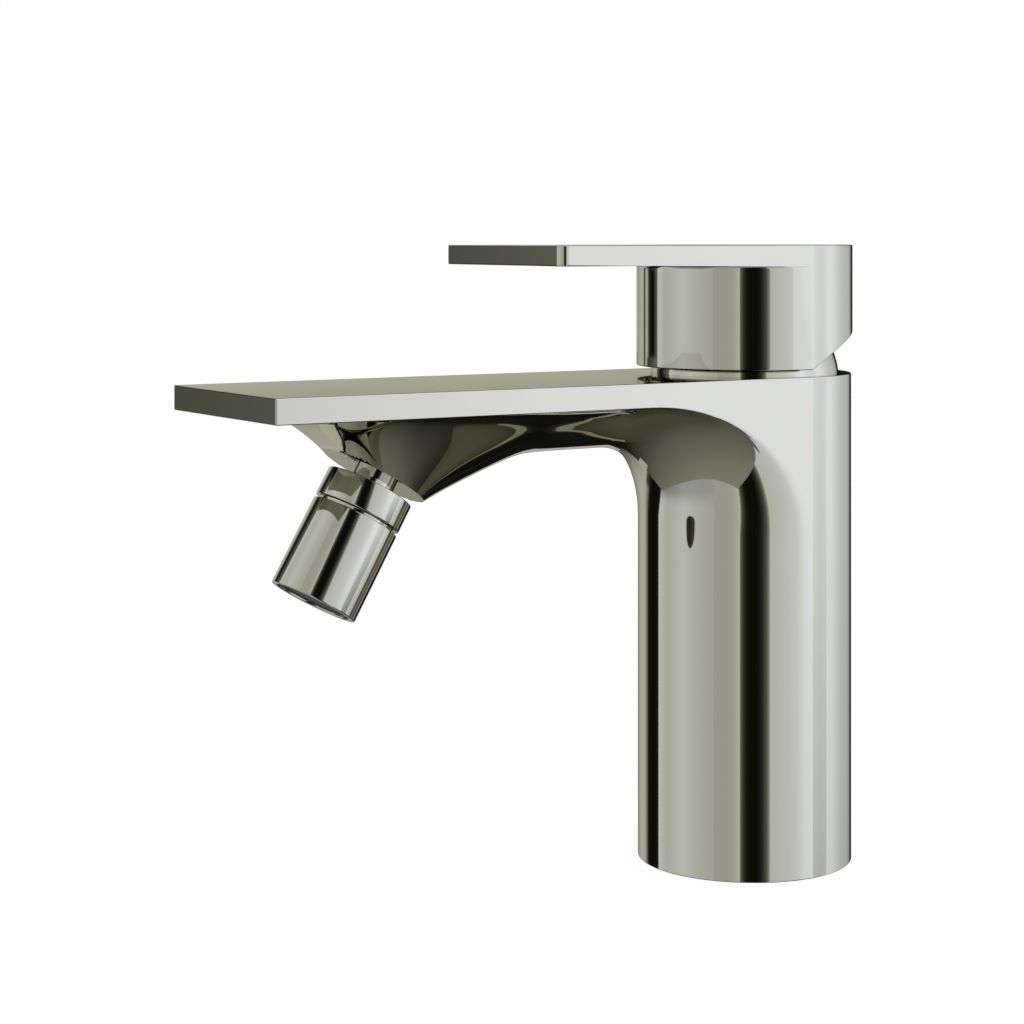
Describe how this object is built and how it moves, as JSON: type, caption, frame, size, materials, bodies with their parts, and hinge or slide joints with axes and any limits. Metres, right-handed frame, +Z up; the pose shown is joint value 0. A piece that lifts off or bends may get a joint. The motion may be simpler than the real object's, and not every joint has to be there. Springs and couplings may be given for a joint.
{
  "type": "bidet mixer",
  "caption": "Single-lever bidet mixer with a round column, a long flat spout, a ball-jointed nozzle and a flat lever.",
  "frame": {"origin": "centre of the column's base, on the deck", "axes": "+Z up along the column; spout and lever point along -Y; +X to the side"},
  "size_m": [0.0486, 0.1532, 0.138],
  "materials": {
    "polished_body": "mirror-polished nickel plating on cast brass, slightly warm",
    "polished_trim": "mirror-polished nickel plating",
    "brass_core": "machined brass",
    "steel_pin": "plain stainless steel",
    "ceramic_disc": "lapped alumina",
    "grey_plastic": "moulded polyacetal",
    "black_plastic": "moulded, satin",
    "white_plastic": "moulded polyacetal",
    "grey_mesh": "fine moulded honeycomb",
    "black_rubber": "matt rubber"
  },
  "bodies": {
    "tap": {"tap_body": "polished_body", "port_insert": "brass_core", "duct_seals": "black_rubber", "base_seal": "black_rubber", "cartridge_base": "grey_plastic", "inlet_seals": "black_rubber", "fixed_disc": "ceramic_disc", "cartridge_housing": "grey_plastic", "housing_seal": "black_rubber", "retaining_nut": "brass_core", "dome_cap": "polished_trim", "ball_stud": "polished_trim"},
    "rotor": {"rotor": "black_plastic", "pivot_pin": "steel_pin"},
    "lever": {"lever_handle": "polished_trim", "spindle": "brass_core", "grub_screw": "steel_pin", "screw_plug": "black_plastic"},
    "carrier": {"disc_carrier": "black_plastic", "moving_disc": "ceramic_disc"},
    "ball_seat": {"ball_liner": "white_plastic"},
    "swivel": {"ball_seal": "black_rubber"},
    "nozzle": {"ring_nut": "polished_trim", "nozzle_housing": "polished_trim", "aerator_washer": "black_rubber", "aerator_insert": "black_plastic", "flow_regulator": "white_plastic", "aerator_screen": "grey_mesh"}
  },
  "joints": [
    {"name": "temperature", "type": "hinge", "parent": "tap", "child": "rotor", "pos_m": [0, 0, 0.099], "axis": [0, 0, 1], "range_deg": [-45, 45]},
    {"name": "lift", "type": "hinge", "parent": "rotor", "child": "lever", "pos_m": [0, 0, 0.099], "axis": [-1, 0, 0], "range_deg": [0, 24]},
    {"name": "disc_travel", "type": "slide", "parent": "rotor", "child": "carrier", "axis": [0, -1, 0], "range_m": [0, 0.0028]},
    {"name": "nozzle_pitch", "type": "hinge", "parent": "tap", "child": "ball_seat", "pos_m": [0, -0.09882, 0.08342], "axis": [1, 0, 0], "range_deg": [-9, 9]},
    {"name": "nozzle_yaw", "type": "hinge", "parent": "ball_seat", "child": "swivel", "pos_m": [0, -0.09882, 0.08342], "axis": [0, 0.8656, -0.5008], "range_deg": [-9, 9]},
    {"name": "nozzle_spin", "type": "hinge", "parent": "swivel", "child": "nozzle", "pos_m": [0, -0.09882, 0.08342], "axis": [0, -0.5008, -0.8656], "continuous": true}
  ],
  "couplings": [
    {"joint": "disc_travel", "follows": "lift", "m_per_rad": 0.0064}
  ]
}
